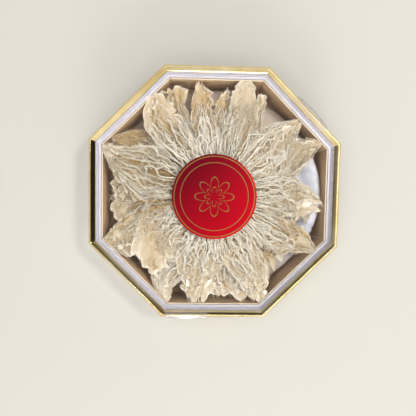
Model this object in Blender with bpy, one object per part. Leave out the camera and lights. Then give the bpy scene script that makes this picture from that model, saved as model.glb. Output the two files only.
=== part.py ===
"""Dried edible bird's nest strips in an octagonal gift box with a clear lid, in metres, +Z up.

The box lies flat with its base on the surface. The centre of its underside is the origin.
Widths of the octagon are given as apothems, from the axis to the middle of a side, in millimetres.
"""

import random
from math import atan2, cos, degrees, pi, radians, sin, sqrt

import bmesh
import bpy

MM = 0.001

# Driving dimensions of the box
BOX_APOTHEM = 100.0
BOX_HEIGHT = 40.0
GAP = 0.3

# Gold frame of the lid
FRAME_TOP_WIDTH = 4.9
FRAME_SKIRT = 1.4
FRAME_FOOT = 28.8
OUTER_BEVEL = 1.6
INNER_BEVEL_DROP = 2.1

# Clear lid
LID_APOTHEM = BOX_APOTHEM - FRAME_TOP_WIDTH - GAP
LID_WALL = 1.1
LID_PANEL = 1.4
LID_TOP = 37.8

# Clear base
BASE_APOTHEM = LID_APOTHEM - LID_WALL - 0.6
BASE_WALL = 1.9
BASE_FLOOR = 2.0
BASE_RIM = 34.4
FLANGE_APOTHEM = 98.4
FLANGE_BOTTOM = 26.5
FLANGE_TOP = 28.5
FOOT_CHAMFER = 1.5

# Card tray
TRAY_APOTHEM = BASE_APOTHEM - BASE_WALL - 0.2
TRAY_WALL = 0.9
TRAY_RIM = 33.6
TRAY_BOTTOM = BASE_FLOOR + GAP
TRAY_SLIT = 0.6

# Round pad under the nest
PAD_RADIUS = 87.0
PAD_TOP = 23.4
PAD_DIMPLE = 3.0
PAD_BOTTOM = TRAY_BOTTOM + TRAY_WALL + GAP
PAD_SEGMENTS = 32
PAD_BULGE = 15.5
PAD_SPREAD = 2.7

# Round seal on the lid
SEAL_RADIUS = 34.0
SEAL_THICKNESS = 0.3
SEAL_LIFT = 0.1
SEAL_CENTRE = (-0.6, -2.6)

# Clear tape over the edge of the lid
TAPE_THICKNESS = 0.3
TAPE_BOW = 2.2

# Nest strips
COLUMNS = 9
SHARED_RADII = (8.0, 16.0, 26.0, 38.0, 50.0, 58.0, 66.0)
TIP_STEPS = (0.45, 0.8, 1.0)
STRIP_THICKNESS = 2.6
TIP_THICKNESS = 1.2
RIDGE = 1.1
STRIP_GAP = 0.4
LAYER_DROP = 5.3
DOME = ((8.0, 31.2), (16.0, 33.0), (26.0, 34.4), (38.0, 34.5), (50.0, 33.8), (58.0, 32.9), (66.0, 32.0))

# Each strip: angle of its tip, radius of its tip, height of its tip, half width there,
# how much its corners are cut back, and whether it lies in the upper layer
STRIPS = (
    (160.0, 93.0, 34.2, 9.0, 9.0, True),
    (124.0, 92.0, 32.5, 10.0, 6.0, True),
    (96.0, 86.5, 30.0, 7.0, 5.0, True),
    (73.0, 94.5, 35.2, 8.0, 3.0, True),
    (41.0, 90.5, 33.0, 9.0, 6.0, True),
    (-6.0, 86.0, 34.0, 9.0, 5.0, True),
    (-29.5, 92.5, 33.0, 9.5, 13.0, True),
    (-66.0, 93.5, 32.0, 8.5, 6.0, True),
    (-100.0, 88.5, 31.5, 13.0, 5.0, True),
    (-142.0, 87.0, 32.0, 11.0, 8.0, True),
    (184.0, 85.0, 27.5, 17.0, 6.0, False),
    (145.0, 90.0, 29.5, 8.0, 12.0, False),
    (110.0, 88.0, 30.0, 6.0, 3.0, False),
    (84.0, 83.0, 28.5, 7.0, 12.0, False),
    (59.0, 88.0, 28.0, 5.0, 3.0, False),
    (23.5, 97.5, 35.2, 7.5, 4.0, False),
    (-17.5, 76.0, 29.5, 7.0, 5.0, False),
    (-48.0, 81.0, 26.5, 13.0, 8.0, False),
    (-83.0, 88.0, 29.5, 8.0, 6.0, False),
    (-115.5, 94.0, 30.0, 6.5, 4.0, False),
    (-159.0, 93.5, 31.5, 9.0, 9.0, False),
)


def clear_scene():
    for obj in list(bpy.data.objects):
        bpy.data.objects.remove(obj)


def material(name, colour, roughness, metallic=0.0, transmission=0.0):
    made = bpy.data.materials.new(name)
    made.use_nodes = True
    shader = made.node_tree.nodes["Principled BSDF"]
    shader.inputs["Base Color"].default_value = (*colour, 1.0)
    shader.inputs["Roughness"].default_value = roughness
    shader.inputs["Metallic"].default_value = metallic
    shader.inputs["Transmission Weight"].default_value = transmission
    made.diffuse_color = (*colour, 1.0)
    return made


def add_object(name, points, faces, look, smooth=False):
    """A mesh object from points in millimetres, with its faces turned outwards."""
    shape = bmesh.new()
    corners = [shape.verts.new([value * MM for value in point]) for point in points]
    for face in faces:
        shape.faces.new([corners[i] for i in face])
    bmesh.ops.recalc_face_normals(shape, faces=shape.faces)
    mesh = bpy.data.meshes.new(name)
    shape.to_mesh(mesh)
    shape.free()
    mesh.polygons.foreach_set("use_smooth", [smooth] * len(mesh.polygons))
    mesh.materials.append(look)
    obj = bpy.data.objects.new(name, mesh)
    bpy.context.collection.objects.link(obj)
    return obj


def octagon_row(apothem, height):
    """The eight corners of a level octagon."""
    radius = apothem / cos(pi / 8)
    turns = [pi / 8 + k * pi / 4 for k in range(8)]
    return [(radius * cos(turn), radius * sin(turn), height) for turn in turns]


def band(first, second, count):
    """Faces between two closed rows of points that start at these indices."""
    around = [(k, (k + 1) % count) for k in range(count)]
    return [(first + a, first + b, second + b, second + a) for a, b in around]


def octagon_dish(name, profile, look):
    """A solid whose profile runs from one flat octagon to another, which close it."""
    points = [point for row in profile for point in octagon_row(*row)]
    faces = [face for k in range(len(profile) - 1) for face in band(8 * k, 8 * k + 8, 8)]
    last = 8 * len(profile) - 8
    faces.append(tuple(range(8)))
    faces.append(tuple(range(last, last + 8)))
    return add_object(name, points, faces, look)


def octagon_ring(name, profile, look):
    """A ring with mitred corners, whose profile is closed."""
    points = [point for row in profile for point in octagon_row(*row)]
    rows = len(profile)
    faces = [face for k in range(rows) for face in band(8 * k, 8 * ((k + 1) % rows), 8)]
    return add_object(name, points, faces, look)


def closed_sheet(name, top, bottom, look, smooth=True):
    """A solid between two grids of points, closed along their edges."""
    rows = len(top)
    columns = len(top[0])
    points = [point for grid in (top, bottom) for row in grid for point in row]
    under = rows * columns
    faces = []
    for i in range(rows - 1):
        for j in range(columns - 1):
            a = i * columns + j
            quad = (a, a + 1, a + columns + 1, a + columns)
            faces.append(quad)
            faces.append(tuple(under + index for index in reversed(quad)))
    edge = [j for j in range(columns)]
    edge += [i * columns + columns - 1 for i in range(1, rows)]
    edge += [(rows - 1) * columns + j for j in range(columns - 2, -1, -1)]
    edge += [i * columns for i in range(rows - 2, 0, -1)]
    for a, b in zip(edge, edge[1:] + edge[:1]):
        faces.append((a, b, under + b, under + a))
    return add_object(name, points, faces, look, smooth)


def between(x, low, high):
    """Smooth step from 0 at low to 1 at high."""
    part = min(max((x - low) / (high - low), 0.0), 1.0)
    return part * part * (3 - 2 * part)


def dome_height(radius):
    """Height of the upper layer's crests above the base."""
    for (r0, z0), (r1, z1) in zip(DOME, DOME[1:]):
        if radius <= r1:
            return z0 + (z1 - z0) * (radius - r0) / (r1 - r0)
    return DOME[-1][1]


def side_distance(x, y):
    """Distance from the axis to a point, measured square to the octagon's nearest side."""
    turn = atan2(y, x)
    off = (turn + pi / 8) % (pi / 4) - pi / 8
    return sqrt(x * x + y * y) * cos(off)


def make_base(look):
    inner = BASE_APOTHEM - BASE_WALL
    profile = [
        (BASE_APOTHEM - FOOT_CHAMFER, 0.0),
        (BASE_APOTHEM, FOOT_CHAMFER),
        (BASE_APOTHEM, FLANGE_BOTTOM),
        (FLANGE_APOTHEM, FLANGE_BOTTOM),
        (FLANGE_APOTHEM, FLANGE_TOP),
        (BASE_APOTHEM, FLANGE_TOP),
        (BASE_APOTHEM, BASE_RIM),
        (inner, BASE_RIM),
        (inner, BASE_FLOOR),
    ]
    octagon_dish("box_base", profile, look)


def make_tray(look, hidden):
    """A card tray whose walls are slit at the corners, as folded card is."""
    inner = TRAY_APOTHEM - TRAY_WALL
    floor = TRAY_BOTTOM + TRAY_WALL
    profile = [
        (TRAY_APOTHEM, TRAY_BOTTOM),
        (TRAY_APOTHEM, TRAY_RIM),
        (inner, TRAY_RIM),
        (inner, floor),
    ]
    tray = octagon_dish("card_tray", profile, look)
    shape = bmesh.new()
    start = (inner - 2) / cos(pi / 8)
    end = (TRAY_APOTHEM + 2) / cos(pi / 8)
    for k in range(8):
        turn = pi / 8 + k * pi / 4
        made = bmesh.ops.create_cube(shape, size=1.0)["verts"]
        for corner in made:
            along = start if corner.co.x < 0 else end
            across = TRAY_SLIT * corner.co.y
            height = floor if corner.co.z < 0 else TRAY_RIM + 2
            x = along * cos(turn) - across * sin(turn)
            y = along * sin(turn) + across * cos(turn)
            corner.co = (x * MM, y * MM, height * MM)
    bmesh.ops.recalc_face_normals(shape, faces=shape.faces)
    mesh = bpy.data.meshes.new("corner_slits")
    shape.to_mesh(mesh)
    shape.free()
    mesh.materials.append(hidden)
    cutter = bpy.data.objects.new("corner_slits", mesh)
    bpy.context.collection.objects.link(cutter)
    cutter.hide_render = True
    cutter.display_type = "WIRE"
    cut = tray.modifiers.new("Corner slits", "BOOLEAN")
    cut.operation = "DIFFERENCE"
    cut.object = cutter


def make_pad(look):
    """A soft round cushion with a rounded edge, pushed up along the tray's right side."""
    rows = ((26.0, 0.99), (50.0, 0.97), (67.0, 0.86), (78.0, 0.66), (84.5, 0.42), (1.0, 0.2))
    points = [(0.0, 0.0, PAD_TOP - PAD_DIMPLE)]
    for radius, share in rows:
        radius = PAD_RADIUS if radius == 1.0 else radius
        for k in range(PAD_SEGMENTS):
            turn = 2 * pi * k / PAD_SEGMENTS
            towards = max(0.0, cos(turn)) ** 5
            bulge = PAD_BULGE * towards * between(radius, 72.0, 85.0)
            height = PAD_BOTTOM + share * (PAD_TOP - PAD_BOTTOM) + bulge * min(1.0, share * 2.2)
            reach = radius + PAD_SPREAD * towards * between(radius, 78.0, 87.0)
            points.append((reach * cos(turn), reach * sin(turn), height))
    foot = len(points)
    for k in range(PAD_SEGMENTS):
        turn = 2 * pi * k / PAD_SEGMENTS
        points.append(((PAD_RADIUS - 5) * cos(turn), (PAD_RADIUS - 5) * sin(turn), PAD_BOTTOM))
    faces = [(0, 1 + k, 1 + (k + 1) % PAD_SEGMENTS) for k in range(PAD_SEGMENTS)]
    for k in range(len(rows)):
        faces += band(1 + k * PAD_SEGMENTS, 1 + (k + 1) * PAD_SEGMENTS, PAD_SEGMENTS)
    faces.append(tuple(range(foot, foot + PAD_SEGMENTS)))
    add_object("pad", points, faces, look, smooth=True)


def outer_sector(index):
    """The angles that a strip alone takes up beyond the shared radii."""
    angle = STRIPS[index][0]
    others = [strip[0] for k, strip in enumerate(STRIPS) if k != index]
    above = min((other - angle) % 360 for other in others)
    below = min((angle - other) % 360 for other in others)
    return angle - below / 2, angle + above / 2


def inner_sector(index):
    """The angles that a strip takes up within its own layer."""
    angle, *_, upper = STRIPS[index]
    others = [s[0] for k, s in enumerate(STRIPS) if k != index and s[5] == upper]
    above = min((other - angle) % 360 for other in others)
    below = min((angle - other) % 360 for other in others)
    return angle - below / 2, angle + above / 2


def make_strip(index, look):
    """One long strip of nest, narrow in the middle, with four locks and a ragged outer end."""
    angle, tip_radius, tip_height, half_width, cut_back, upper = STRIPS[index]
    chance = random.Random(index + 5)
    wide = inner_sector(index)
    narrow = outer_sector(index)
    last = SHARED_RADII[-1]
    spread = degrees(half_width / tip_radius)
    tip_sector = (max(narrow[0], angle - spread), min(narrow[1], angle + spread))
    depths = [(0.0, 3.0) if column % 2 else (3.0, 9.0) for column in range(COLUMNS)]
    notches = [chance.uniform(*depth) for depth in depths]
    drift = [chance.uniform(-0.25, 0.25) for _ in range(COLUMNS)]
    top = []
    bottom = []
    rows = len(SHARED_RADII) + len(TIP_STEPS)
    for row in range(rows):
        top_row = []
        bottom_row = []
        for column in range(COLUMNS):
            t = 2 * column / (COLUMNS - 1) - 1
            column_end = tip_radius - cut_back * abs(t) ** 1.6 - notches[column]
            if row < len(SHARED_RADII):
                radius = SHARED_RADII[row]
            else:
                radius = last + (column_end - last) * TIP_STEPS[row - len(SHARED_RADII)]
            narrowing = between(radius, 50.0, last)
            tapering = max(0.0, (radius - last) / (tip_radius - last))
            gap_angle = degrees(STRIP_GAP / radius)
            edges = []
            for side in range(2):
                edge = wide[side] + (narrow[side] - wide[side]) * narrowing
                edges.append(edge + (tip_sector[side] - edge) * tapering)
            low = edges[0] + gap_angle
            high = edges[1] - gap_angle
            jitter = drift[column] * (high - low) / COLUMNS if 0 < column < COLUMNS - 1 else 0.0
            turn = radians(low + (high - low) * (t + 1) / 2 + jitter)
            x = radius * cos(turn)
            y = radius * sin(turn)
            reach = side_distance(x, y)
            limit = TRAY_APOTHEM - TRAY_WALL - 0.7
            ease = between(radius, last, tip_radius)
            middle = dome_height(radius) - (0.0 if upper else LAYER_DROP)
            crest = middle + (tip_height - middle) * ease
            if reach > limit and crest - TIP_THICKNESS - RIDGE < TRAY_RIM + GAP:
                x *= limit / reach
                y *= limit / reach
            ridge = RIDGE * min(1.0, radius / 26.0) * (1 if column % 2 else -1) * (1 - 0.6 * ease)
            thickness = STRIP_THICKNESS + (TIP_THICKNESS - STRIP_THICKNESS) * ease
            thickness *= 1 - 0.35 * t**4
            top_row.append((x, y, crest - RIDGE + ridge))
            bottom_row.append((x, y, crest - RIDGE + ridge - thickness))
        top.append(top_row)
        bottom.append(bottom_row)
    closed_sheet(f"nest_strip_{index + 1:02d}", top, bottom, look)


def make_seal(look):
    count = 64
    low = LID_TOP + SEAL_LIFT
    points = []
    for height in (low, low + SEAL_THICKNESS):
        for k in range(count):
            turn = 2 * pi * k / count
            x = SEAL_CENTRE[0] + SEAL_RADIUS * cos(turn)
            y = SEAL_CENTRE[1] + SEAL_RADIUS * sin(turn)
            points.append((x, y, height))
    faces = [tuple(range(count)), tuple(range(count, 2 * count))] + band(0, count, count)
    add_object("round_seal", points, faces, look)


def make_tape(name, side, start, end, look):
    """Clear tape folded over the frame on one side, bowed off it in the middle."""
    lift = GAP
    base_route = (
        (BOX_APOTHEM - FRAME_TOP_WIDTH + 0.5, BOX_HEIGHT - INNER_BEVEL_DROP + 0.35 + lift, 0.0),
        (BOX_APOTHEM - OUTER_BEVEL, BOX_HEIGHT + lift, 0.0),
        (BOX_APOTHEM + lift, BOX_HEIGHT - OUTER_BEVEL + lift, 0.55),
        (BOX_APOTHEM + lift, BOX_HEIGHT - 4.5, 1.0),
        (BOX_APOTHEM + lift, BOX_HEIGHT - 8.0, 0.85),
        (BOX_APOTHEM + lift, FRAME_FOOT - 0.2, 0.15),
        (FLANGE_APOTHEM + lift + 0.3, FLANGE_BOTTOM - 1.0, 0.0),
    )
    stations = 7
    middle = []
    for k in range(stations):
        along = start + (end - start) * k / (stations - 1)
        bow = TAPE_BOW * (1 - (2 * k / (stations - 1) - 1) ** 2)
        middle.append([(out + bow * share, along, height) for out, height, share in base_route])
    outside = []
    for row in middle:
        moved = []
        for j, (out, along, height) in enumerate(row):
            before = row[max(j - 1, 0)]
            after = row[min(j + 1, len(row) - 1)]
            step_out = after[0] - before[0]
            step_up = after[2] - before[2]
            size = sqrt(step_out**2 + step_up**2)
            shift_out = -step_up / size * TAPE_THICKNESS
            shift_up = step_out / size * TAPE_THICKNESS
            moved.append((out + shift_out, along, height + shift_up))
        outside.append(moved)
    turn = radians(side)

    def placed(grid):
        ahead = (cos(turn), sin(turn))
        across = (sin(turn), -cos(turn))
        return [
            [(o * ahead[0] + a * across[0], o * ahead[1] + a * across[1], h) for o, a, h in row]
            for row in grid
        ]

    closed_sheet(name, placed(outside), placed(middle), look)


clear_scene()
clear_plastic = material("clear plastic", (0.93, 0.93, 0.96), 0.05, transmission=1.0)
gold_plate = material("gold plated plastic", (0.83, 0.62, 0.25), 0.08, metallic=1.0)
tan_card = material("tan card", (0.62, 0.45, 0.30), 0.8)
white_wadding = material("white wadding", (0.88, 0.86, 0.85), 0.7)
dried_nest = material("dried nest", (0.82, 0.70, 0.52), 0.45)
red_foil = material("red foil", (0.62, 0.02, 0.03), 0.3, metallic=0.4)
clear_film = material("clear film", (0.96, 0.96, 0.98), 0.1, transmission=1.0)

make_base(clear_plastic)
make_tray(tan_card, tan_card)
make_pad(white_wadding)
for strip_index in range(len(STRIPS)):
    make_strip(strip_index, dried_nest)

lid_inner = LID_APOTHEM - LID_WALL
lid_profile = [
    (lid_inner, LID_TOP - LID_PANEL),
    (lid_inner, FLANGE_TOP + GAP),
    (LID_APOTHEM, FLANGE_TOP + GAP),
    (LID_APOTHEM, LID_TOP),
]
octagon_dish("clear_lid", lid_profile, clear_plastic)

frame_inner = BOX_APOTHEM - FRAME_TOP_WIDTH
skirt_inner = BOX_APOTHEM - FRAME_SKIRT
frame_profile = [
    (skirt_inner, FRAME_FOOT),
    (BOX_APOTHEM, FRAME_FOOT),
    (BOX_APOTHEM, BOX_HEIGHT - OUTER_BEVEL),
    (BOX_APOTHEM - OUTER_BEVEL, BOX_HEIGHT),
    (frame_inner, BOX_HEIGHT - INNER_BEVEL_DROP),
    (frame_inner, BOX_HEIGHT - INNER_BEVEL_DROP - 1.4),
    (skirt_inner, BOX_HEIGHT - INNER_BEVEL_DROP - 1.4),
]
octagon_ring("lid_frame", frame_profile, gold_plate)
make_seal(red_foil)
make_tape("seal_tape_right", 45.0, -9.6, 24.5, clear_film)
make_tape("seal_tape_front", -90.0, 4.7, 39.3, clear_film)
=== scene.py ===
"""Dried edible bird's nest in an octagonal gift box, seen from above through its clear lid."""

from math import cos, pi, radians, tan

import bmesh
import bpy
import numpy as np
from mathutils import Matrix, Vector


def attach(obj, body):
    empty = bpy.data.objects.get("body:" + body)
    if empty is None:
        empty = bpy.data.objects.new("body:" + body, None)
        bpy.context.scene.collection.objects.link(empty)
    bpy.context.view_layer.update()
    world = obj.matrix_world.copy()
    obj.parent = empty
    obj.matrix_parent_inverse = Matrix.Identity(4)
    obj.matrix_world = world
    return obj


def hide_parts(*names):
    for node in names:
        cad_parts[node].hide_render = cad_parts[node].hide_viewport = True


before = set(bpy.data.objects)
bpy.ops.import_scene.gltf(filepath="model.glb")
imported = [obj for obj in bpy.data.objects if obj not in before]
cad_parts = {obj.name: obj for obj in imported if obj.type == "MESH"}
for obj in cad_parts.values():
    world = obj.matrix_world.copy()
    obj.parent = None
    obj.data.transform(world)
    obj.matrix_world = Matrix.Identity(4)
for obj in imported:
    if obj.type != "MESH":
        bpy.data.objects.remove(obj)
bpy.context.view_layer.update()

MM = 0.001
scene = bpy.context.scene

# Camera: hand held about 30 cm above the lid, nearly level with it.
camera_place = (-14.5 * MM, 5.2 * MM, 341.0 * MM)
camera_turn = Vector((radians(-3.2), radians(-1.67), radians(0.96)))
focal_pixels = 379.6
view_pixels = 416
camera = bpy.data.objects.new("camera", bpy.data.cameras.new("camera"))
camera.data.sensor_width = 36.0
camera.data.lens = focal_pixels / view_pixels * camera.data.sensor_width
camera.data.clip_start = 0.01
turned = Matrix.Rotation(camera_turn.length, 4, camera_turn.normalized())
camera.matrix_world = Matrix.Translation(camera_place) @ turned
scene.collection.objects.link(camera)
scene.camera = camera
scene.view_settings.view_transform = "Standard"

# Floor: a plain pale sweep, far wider than the view.
floor_mesh = bpy.data.meshes.new("floor")
floor_mesh.from_pydata([(-4, -4, 0), (4, -4, 0), (4, 4, 0), (-4, 4, 0)], [], [(0, 1, 2, 3)])
floor = bpy.data.objects.new("floor", floor_mesh)
scene.collection.objects.link(floor)
floor_paint = bpy.data.materials.new("floor paint")
floor_paint.use_nodes = True
floor_shader = floor_paint.node_tree.nodes["Principled BSDF"]
floor_shader.inputs["Base Color"].default_value = (0.68, 0.66, 0.59, 1)
floor_shader.inputs["Roughness"].default_value = 0.9
floor_mesh.materials.append(floor_paint)

# Light: a pale ceiling seen all round the photographer, a bright window side below the picture
# and a dim room elsewhere, which the gold frame mirrors.


def math(tree, operation, first, second=None, third=None):
    """A Math node whose inputs are sockets or numbers."""
    node = tree.nodes.new("ShaderNodeMath")
    node.operation = operation
    for socket, value in zip(node.inputs, (first, second, third)):
        if value is None:
            continue
        if isinstance(value, (int, float)):
            socket.default_value = value
        else:
            tree.links.new(value, socket)
    return node.outputs[0]


def ramp(tree, value, stops):
    """A curve through these (position, level) stops."""
    node = tree.nodes.new("ShaderNodeValToRGB")
    elements = node.color_ramp.elements
    while len(elements) < len(stops):
        elements.new(0.5)
    for element, (position, level) in zip(elements, sorted(stops)):
        element.position = position
        element.color = (level, level, level, 1)
    tree.links.new(value, node.inputs["Fac"])
    return node.outputs["Color"]


world = bpy.data.worlds.new("room")
scene.world = world
world.use_nodes = True
room = world.node_tree
background = room.nodes["Background"]
direction = room.nodes.new("ShaderNodeTexCoord")
split = room.nodes.new("ShaderNodeSeparateXYZ")
room.links.new(direction.outputs["Generated"], split.inputs[0])
azimuth = math(room, "ARCTAN2", split.outputs["Y"], split.outputs["X"])
azimuth = math(room, "MULTIPLY_ADD", azimuth, 0.5 / pi, 0.5)
higher_walls = ramp(room, azimuth, [
    (0.0, 0.20), (0.125, 0.95), (0.25, 0.72), (0.375, 1.10), (0.47, 0.015),
    (0.53, 0.01), (0.625, 0.14), (0.75, 0.05), (0.875, 0.10), (1.0, 0.25),
])
lower_walls = ramp(room, azimuth, [
    (0.0, 0.10), (0.125, 1.00), (0.25, 0.80), (0.375, 1.10), (0.47, 0.03),
    (0.53, 0.02), (0.625, 0.42), (0.75, 0.60), (0.875, 0.42), (1.0, 0.12),
])
wall_height = room.nodes.new("ShaderNodeMapRange")
wall_height.interpolation_type = "SMOOTHSTEP"
wall_height.inputs["From Min"].default_value = 0.58
wall_height.inputs["From Max"].default_value = 0.68
room.links.new(split.outputs["Z"], wall_height.inputs["Value"])
walls = room.nodes.new("ShaderNodeMix")
room.links.new(wall_height.outputs[0], walls.inputs["Factor"])
room.links.new(lower_walls, walls.inputs["A"])
room.links.new(higher_walls, walls.inputs["B"])
ceiling = ramp(room, split.outputs["Z"], [
    (0.775, 0.0), (0.81, 1.0), (0.915, 1.0), (0.935, 0.12), (1.0, 0.10),
])
walls_below = math(room, "LESS_THAN", split.outputs["Z"], 0.79)
wall_light = math(room, "MULTIPLY", walls.outputs["Result"], walls_below)
strength = math(room, "MULTIPLY_ADD", ceiling, 2.2, wall_light)
room.links.new(strength, background.inputs["Strength"])
background.inputs["Color"].default_value = (1.0, 0.99, 1.0, 1)


def soft_lamp(name, place, aim, width, height, power, colour):
    """A rectangular lamp that faces a point."""
    data = bpy.data.lights.new(name, "AREA")
    data.shape = "RECTANGLE"
    data.size = width
    data.size_y = height
    data.energy = power
    data.color = colour
    lamp = bpy.data.objects.new(name, data)
    lamp.location = place
    lamp.rotation_euler = (Vector(aim) - Vector(place)).to_track_quat("-Z", "Y").to_euler()
    scene.collection.objects.link(lamp)


soft_lamp("key", (0.62, 0.30, 1.25), (0, 0, 0.02), 0.25, 0.25, 5.2, (1.0, 0.98, 0.95))
soft_lamp("fill", (0.10, -1.35, 0.62), (0, 0, 0.02), 0.5, 0.5, 7.5, (1.0, 0.98, 0.95))

# Surface effects that several materials share.


def effect(name, inputs, outputs):
    """An empty shader node group with these sockets: (name, kind, default) each."""
    group = bpy.data.node_groups.new(name, "ShaderNodeTree")
    for label, kind, default in inputs:
        socket = group.interface.new_socket(label, in_out="INPUT", socket_type=kind)
        socket.default_value = default
    for label, kind in outputs:
        group.interface.new_socket(label, in_out="OUTPUT", socket_type=kind)
    start = group.nodes.new("NodeGroupInput")
    end = group.nodes.new("NodeGroupOutput")
    return group, start, end


def paint(name):
    """A new material with its tree and its Principled shader."""
    made = bpy.data.materials.new(name)
    made.use_nodes = True
    return made, made.node_tree, made.node_tree.nodes["Principled BSDF"]


def place_effect(tree, group, **values):
    """The effect placed in a material, with its own values and object coordinates."""
    node = tree.nodes.new("ShaderNodeGroup")
    node.node_tree = group
    where = tree.nodes.new("ShaderNodeTexCoord")
    tree.links.new(where.outputs["Object"], node.inputs["Place"])
    for label, value in values.items():
        node.inputs[label.replace("_", " ")].default_value = value
    return node


def share_between(tree, value, low, high):
    """A mask that runs from 0 to 1 as the value runs from low to high."""
    node = tree.nodes.new("ShaderNodeMapRange")
    node.inputs["From Min"].default_value = low
    node.inputs["From Max"].default_value = high
    tree.links.new(value, node.inputs["Value"])
    return node.outputs[0]


def mix_colours(tree, factor, first, second, blend_type="MIX"):
    """A mix of two colours. Each input is a socket or a fixed value."""
    node = tree.nodes.new("ShaderNodeMix")
    node.data_type = "RGBA"
    node.blend_type = blend_type
    node.clamp_factor = True
    sockets = (node.inputs["Factor"], node.inputs[6], node.inputs[7])
    for socket, value in zip(sockets, (factor, first, second)):
        if isinstance(value, bpy.types.NodeSocket):
            tree.links.new(value, socket)
        else:
            socket.default_value = value
    return node.outputs[2]


# Mottle: two colours that drift into each other in soft patches, and a fine grain as a mask.
mottle, m_in, m_out = effect(
    "mottle",
    [
        ("Place", "NodeSocketVector", (0, 0, 0)),
        ("Light", "NodeSocketColor", (1, 1, 1, 1)),
        ("Dark", "NodeSocketColor", (0.5, 0.5, 0.5, 1)),
        ("Patch Scale", "NodeSocketFloat", 60.0),
        ("Grain Scale", "NodeSocketFloat", 900.0),
        ("Grain Amount", "NodeSocketFloat", 0.15),
    ],
    [("Color", "NodeSocketColor"), ("Grain", "NodeSocketFloat")],
)
patches = mottle.nodes.new("ShaderNodeTexNoise")
patches.inputs["Detail"].default_value = 3.0
grain = mottle.nodes.new("ShaderNodeTexNoise")
grain.inputs["Detail"].default_value = 2.0
for noise, scale in ((patches, "Patch Scale"), (grain, "Grain Scale")):
    mottle.links.new(m_in.outputs["Place"], noise.inputs["Vector"])
    mottle.links.new(m_in.outputs[scale], noise.inputs["Scale"])
patch_share = share_between(mottle, patches.outputs["Fac"], 0.35, 0.65)
drifted = mix_colours(mottle, patch_share, m_in.outputs["Dark"], m_in.outputs["Light"])
grain_amount = m_in.outputs["Grain Amount"]
specked = mix_colours(mottle, grain_amount, drifted, grain.outputs["Fac"], "OVERLAY")
mottle.links.new(specked, m_out.inputs["Color"])
mottle.links.new(grain.outputs["Fac"], m_out.inputs["Grain"])


def add_bump(tree, shader, height, distance, strength=1.0):
    """A Bump node between a height and the shader's normal."""
    bump = tree.nodes.new("ShaderNodeBump")
    bump.inputs["Distance"].default_value = distance
    bump.inputs["Strength"].default_value = strength
    tree.links.new(height, bump.inputs["Height"])
    tree.links.new(bump.outputs["Normal"], shader.inputs["Normal"])


def mesh_piece(name, points, faces, look, smooth=True):
    """An object from points in metres, with faces turned outwards."""
    mesh = bpy.data.meshes.new(name)
    mesh.from_pydata([tuple(p) for p in points], [], faces)
    shape = bmesh.new()
    shape.from_mesh(mesh)
    bmesh.ops.recalc_face_normals(shape, faces=shape.faces)
    shape.to_mesh(mesh)
    shape.free()
    mesh.polygons.foreach_set("use_smooth", [smooth] * len(mesh.polygons))
    mesh.materials.append(look)
    obj = bpy.data.objects.new(name, mesh)
    scene.collection.objects.link(obj)
    return obj


def octagon_row(apothem, height):
    """The eight corners of a level octagon, given in millimetres."""
    radius = apothem / cos(pi / 8) * MM
    turns = [pi / 8 + k * pi / 4 for k in range(8)]
    return [(radius * np.cos(turn), radius * np.sin(turn), height * MM) for turn in turns]


def octagon_body(name, profile, look, closed, bevel, wall_look=None, wall_rows=()):
    """A profile of (apothem, height) carried round the octagon, with softened edges. The faces of
    the wall rows take a second material."""
    rows = len(profile)
    points = [point for row in profile for point in octagon_row(*row)]
    faces = []
    for k in range(rows if closed else rows - 1):
        a = 8 * k
        b = 8 * ((k + 1) % rows)
        faces += [(a + i, a + (i + 1) % 8, b + (i + 1) % 8, b + i) for i in range(8)]
    if not closed:
        faces += [tuple(range(8)), tuple(range(8 * rows - 8, 8 * rows))]
    body = mesh_piece(name, points, faces, look)
    if wall_look:
        body.data.materials.append(wall_look)
        for row in wall_rows:
            for face in range(8 * row, 8 * row + 8):
                body.data.polygons[face].material_index = 1
    soften = body.modifiers.new("soft edges", "BEVEL")
    soften.width = bevel * MM
    soften.segments = 3
    soften.limit_method = "ANGLE"
    soften.angle_limit = radians(20)
    soften.harden_normals = True
    return body


def clear_paint(name, colour, roughness, ior, clarity=1.0):
    """Clear plastic that lets the lamps through, so that what it covers is lit."""
    made, tree, shader = paint(name)
    shader.inputs["Base Color"].default_value = (*colour, 1)
    shader.inputs["Roughness"].default_value = roughness
    shader.inputs["IOR"].default_value = ior
    shader.inputs["Transmission Weight"].default_value = clarity
    through = tree.nodes.new("ShaderNodeBsdfTransparent")
    through.inputs["Color"].default_value = (0.97, 0.97, 0.975, 1)
    ray = tree.nodes.new("ShaderNodeLightPath")
    choose = tree.nodes.new("ShaderNodeMixShader")
    tree.links.new(ray.outputs["Is Shadow Ray"], choose.inputs["Fac"])
    tree.links.new(shader.outputs[0], choose.inputs[1])
    tree.links.new(through.outputs[0], choose.inputs[2])
    tree.links.new(choose.outputs[0], tree.nodes["Material Output"].inputs["Surface"])
    return made


# Base of the box: a shallow octagonal dish moulded in clear plastic, with a flange that the
# lid's frame lands on and a neck that the lid slips over.
base_apothem = 93.1
base_wall = 1.9
base_rim = 34.4
flange_apothem = 98.4
clear_base_paint = clear_paint("clear base plastic", (0.95, 0.95, 0.97), 0.03, 1.49)
# Painted reflection: the flange and neck take a milky lilac-grey that stands in for the reflections
# and refraction a clear wall shows on edge.
base_edge_reflection_paint = clear_paint("base plastic seen on edge", (0.74, 0.72, 0.76), 0.25, 1.49, 0.3)
base_profile = [
    (base_apothem - 1.5, 0.0),
    (base_apothem, 1.5),
    (base_apothem, 26.5),
    (flange_apothem, 26.5),
    (flange_apothem, 28.5),
    (base_apothem, 28.5),
    (base_apothem, base_rim),
    (base_apothem - base_wall, base_rim),
    (base_apothem - base_wall, 2.0),
]
base = octagon_body(
    "clear_base", base_profile, clear_base_paint,
    closed=False, bevel=0.3, wall_look=base_edge_reflection_paint, wall_rows=(3, 4, 5, 6),
)
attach(base, "root")
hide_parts("box_base")

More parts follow.
